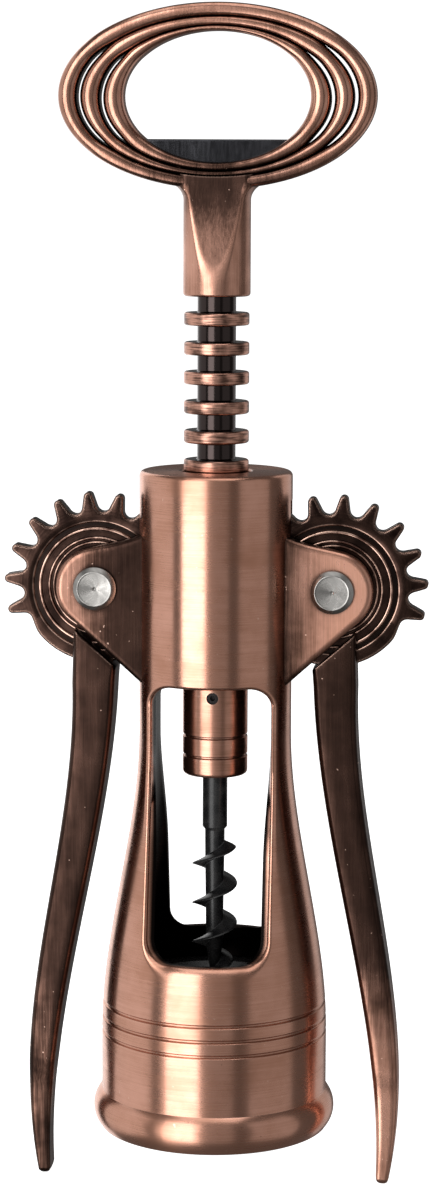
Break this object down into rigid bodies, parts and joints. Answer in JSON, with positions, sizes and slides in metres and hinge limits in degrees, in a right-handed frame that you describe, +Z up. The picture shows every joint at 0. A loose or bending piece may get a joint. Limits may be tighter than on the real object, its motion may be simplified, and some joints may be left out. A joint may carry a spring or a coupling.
{
  "type": "lever corkscrew",
  "caption": "Lever corkscrew: geared wings raise a round rack and worm out of a flared bottle socket, with an oval handle that also opens crown caps.",
  "frame": {"origin": "centre of the bottle socket's mouth, on the axis of the rack and worm", "axes": "+Z up along the rack towards the handle, +X to the right-hand lever, +Y to the back; both lever pivots lie along Y"},
  "size_m": [0.069, 0.0398, 0.1925],
  "materials": {
    "cast_copper": "antique copper plating, brushed round the barrel",
    "handle_copper": "antique copper plating, rubbed bright on the ribs and dark between them",
    "lever_copper": "antique copper plating, brushed along the wing, dark on the gear",
    "rack_copper": "antique copper plating, dark between the rings",
    "coupler_copper": "antique copper plating, turned",
    "rivet_metal": "bright turned",
    "opener_metal": "dark polished gunmetal",
    "spindle_steel": "plain turned steel",
    "screw_steel": "blackened steel",
    "worm_black": "satin black non-stick coating",
    "seat_plastic": "black, slightly glossy",
    "washer_steel": "plain steel"
  },
  "bodies": {
    "frame": {"frame_body": "cast_copper", "bottle_seat": "seat_plastic", "left_rivet_front": "rivet_metal", "left_rivet_back": "rivet_metal", "right_rivet_front": "rivet_metal", "right_rivet_back": "rivet_metal", "left_front_washer": "washer_steel", "left_back_washer": "washer_steel", "right_front_washer": "washer_steel", "right_back_washer": "washer_steel"},
    "rack_sleeve": {"rack": "rack_copper"},
    "screw_and_handle": {"handle": "handle_copper", "opener_insert": "opener_metal", "spindle": "spindle_steel", "coupler": "coupler_copper", "set_screw": "screw_steel", "worm": "worm_black"},
    "left_wing": {"left_lever": "lever_copper"},
    "right_wing": {"right_lever": "lever_copper"}
  },
  "joints": [
    {"name": "left_wing_swing", "type": "hinge", "parent": "frame", "child": "left_wing", "pos_m": [-0.0192, 0, 0.0896], "axis": [0, 1, 0], "range_deg": [0, 150]},
    {"name": "right_wing_swing", "type": "hinge", "parent": "frame", "child": "right_wing", "pos_m": [0.0192, 0, 0.0896], "axis": [0, -1, 0], "range_deg": [0, 150]},
    {"name": "rack_slide", "type": "slide", "parent": "frame", "child": "rack_sleeve", "axis": [0, 0, -1], "range_m": [0, 0.0356]},
    {"name": "handle_spin", "type": "hinge", "parent": "rack_sleeve", "child": "screw_and_handle", "pos_m": [0, 0, 0.1], "axis": [0, 0, 1], "continuous": true}
  ],
  "couplings": [
    {"joint": "right_wing_swing", "follows": "left_wing_swing", "ratio": 1},
    {"joint": "rack_slide", "follows": "left_wing_swing", "m_per_rad": 0.013528}
  ]
}
